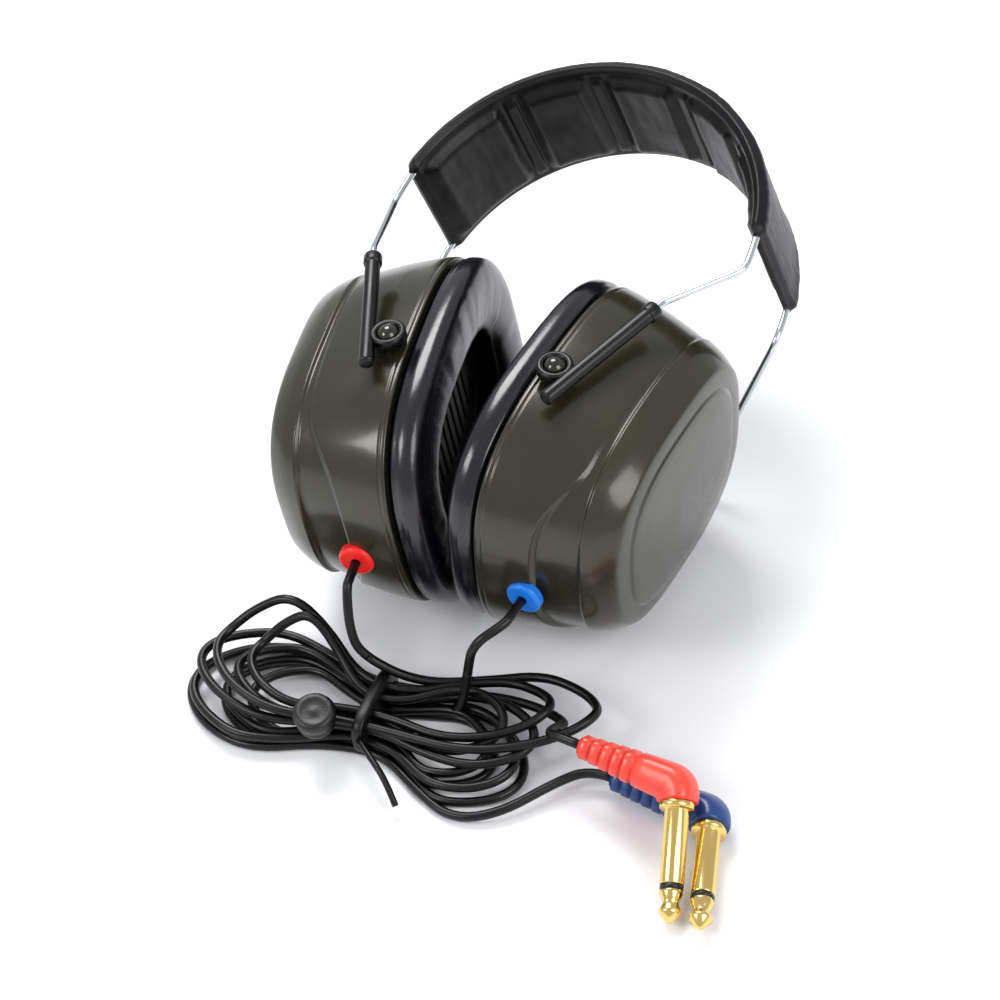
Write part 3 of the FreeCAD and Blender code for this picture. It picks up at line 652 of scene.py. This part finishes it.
guideLook = {"offset": 5.6, "slant": 14.2, "above": 33.1, "below": 10.0, "span": 42.0}
slant = math.radians(guideLook["slant"])
guideWay = Vector((math.sin(slant), math.cos(slant), 0))
for hand in ("left", "right"):
    for place, side in (("front", 1), ("rear", -1)):
        ball = Vector((0, 0, side * guideLook["span"]))
        near = ball + Vector((guideWay.y, -guideWay.x, 0)) * guideLook["offset"]
        base = cupPoint(near - guideWay * guideLook["below"], hand)
        top = cupPoint(near + guideWay * guideLook["above"], hand)
        way = (top - base).normalized()
        bar = revolve("guideBar", base, way,
                      [(0, 0.6), (0, 1.5), (0.25, 1.95), (0.7, 2.1), (39.3, 2.1), (39.6, 2.2), (39.75, 2.5),
                       (40.1, 2.6), (42.5, 2.6), (42.95, 2.45), (43.1, 2.1), (43.1, 1.25), (40.5, 1.15)], 40)
        body = place + "_guide_" + hand
        newObject(body + "_bar", bar, "guide_plastic", body, [body])
        middle = cupPoint(ball, hand)
        out = (cupPoint(ball + Vector((0, 0, 1)), hand) - middle).normalized()
        profile = [(-1.8, 3.2), (-1.8, 4.2), (-1.5, 4.75), (-1.0, 4.9), (1.0, 4.9), (1.45, 4.75), (1.75, 4.35),
                   (1.8, 3.9), (1.6, 3.35), (1.2, 3.0), (0.6, 3.14), (0.0, 3.17), (-0.6, 3.14), (-1.2, 3.0)]
        flatSide = out.orthogonal().normalized()
        across = out.cross(flatSide)
        rows = [[middle + out * along * mm + (flatSide * math.cos(a) + across * math.sin(a)) * radius * mm
                 for a in (2 * math.pi * k / 48 for k in range(48))] for along, radius in profile]
        newObject(body + "_socket", gridMesh("socket", rows, closeColumns=True), "guide_plastic", body)
        inward = (cupPoint(near, hand) - middle).normalized()
        web = []
        for d, w, h in ((4.3, 1.9, 1.1), (4.6, 2.3, 1.4), (5.2, 2.6, 1.45), (5.9, 2.6, 1.4)):
            web.append([middle + inward * d * mm + way * math.cos(a) * w * mm + out * math.sin(a) * h * mm
                        for a in (2 * math.pi * k / 20 for k in range(20))])
        newObject(body + "_web", gridMesh("web", web, capStart=True, capEnd=True), "guide_plastic", body)
print("cups made")

# padded strap over the two wires
bandLook = {"radius": 54.5, "centre": 52.2, "inner": 1.7, "outer": 2.6, "width": 41.0, "padding": 2.6,
            "ribs": (-43, -15, 15, 43), "ends": (9.3, 170.7), "wires": 17.5}


# ring of points round the strap at this angle: flat outer skin with wire welts, padded inner face
def bandSection(angle):
    ribGap = min(abs(angle - 90 - rib) for rib in bandLook["ribs"])
    endGap = min(angle - bandLook["ends"][0], bandLook["ends"][1] - angle)
    puff = smooth((ribGap - 2.3) / 4.0) * smooth((endGap - 1.5) / 6.0)
    bar = smooth((2.0 - ribGap) / 0.6)
    tip = smooth(endGap / 2.4)
    count = 40
    half = bandLook["width"] / 2 * (0.955 + 0.045 * smooth(endGap / 3.5))
    r0 = bandLook["radius"]
    outside, inside = [], []
    for k in range(count + 1):
        y = half * math.sin(math.pi / 2 * (2 * k / count - 1))
        edge = smooth((half - abs(y)) / 1.4)
        welt = 0.55 * math.exp(-((abs(y) - bandLook["wires"]) / 1.3) ** 2)
        lump = 0.35 * noise.noise(Vector((angle * 0.09, y * 0.12, 3.0)))
        crease = 0.22 * noise.noise(Vector((angle * 0.55, y * 0.08, 9.0)))
        up = bandLook["outer"] * (0.35 + 0.65 * edge) - 0.35 + welt * 0.6 + (lump + crease) * edge * 0.6
        outside.append((y, r0 + up))
        pad = smooth((half - 2.4 - abs(y)) / 3.6)
        depth = 0.4 + (bandLook["inner"] - 0.4) * edge + bandLook["padding"] * pad * puff
        folds = 0.22 * noise.noise(Vector((angle * 0.3, y * 0.10, 1.0))) * pad * puff
        depth += 1.1 * bar * smooth((half - 3.6 - abs(y)) / 0.9) * smooth(endGap / 5.0)
        inside.append((y, r0 - depth * (0.45 + 0.55 * tip) - folds - 0.35 * lump * pad))
    outside = [(y, r0 + (r - r0) * (0.4 + 0.6 * tip)) for y, r in outside]
    ring = outside + list(reversed(inside))[1:-1]
    a = math.radians(angle)
    return [bandPoint((r * math.cos(a), y, bandLook["centre"] + r * math.sin(a))) for y, r in ring]


low, high = bandLook["ends"]
angles = [low + (high - low) * i / 420 for i in range(421)]
strapMesh = gridMesh("strapShown", [bandSection(a) for a in angles], capStart=True, capEnd=True)
pieces = [kind + side for kind in ("strap_", "band_pad_end_", "band_pad_side_", "band_pad_crown_", "band_ribs_",
                                         "band_end_cap_")
          for side in ("left", "right")]
strap = newObject("strapShown", strapMesh, "band_leatherette", None, pieces)
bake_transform(strap)
print("headband made")

# pale table, three soft lamps
floorMesh = gridMesh("floor", [[Vector((-4, y, 0)) for y in (-4, 4)], [Vector((4, y, 0)) for y in (-4, 4)]],
                     closeRows=False)
floor = bpy.data.objects.new("floor", floorMesh)
bpy.context.scene.collection.objects.link(floor)
floorMat = bpy.data.materials.new("paleTable")
floorMat.use_nodes = True
floorMat.node_tree.nodes["Principled BSDF"].inputs["Base Color"].default_value = (0.84, 0.84, 0.85, 1)
floorMat.node_tree.nodes["Principled BSDF"].inputs["Roughness"].default_value = 0.75
floorMesh.materials.append(floorMat)

world = bpy.data.worlds.new("studio")
bpy.context.scene.world = world
world.use_nodes = True
world.node_tree.nodes["Background"].inputs["Color"].default_value = (0.93, 0.95, 1.0, 1)
world.node_tree.nodes["Background"].inputs["Strength"].default_value = 0.68
lamps = {"key": ((-0.35, 0.45, 0.9), 0.5, 9.0), "fill": ((0.7, -0.3, 0.6), 0.5, 4.0),
         "front": ((-0.5, -0.6, 0.7), 0.35, 3.5)}
middle = Vector((0, -0.02, 0.04))
for lampName, (at, size, power) in lamps.items():
    lamp = bpy.data.lights.new(lampName, "AREA")
    lamp.size = size
    lamp.energy = power
    holder = bpy.data.objects.new(lampName, lamp)
    bpy.context.scene.collection.objects.link(holder)
    holder.location = at
    holder.rotation_euler = (middle - Vector(at)).to_track_quat("-Z", "Y").to_euler()
bpy.context.scene.view_settings.view_transform = "Standard"
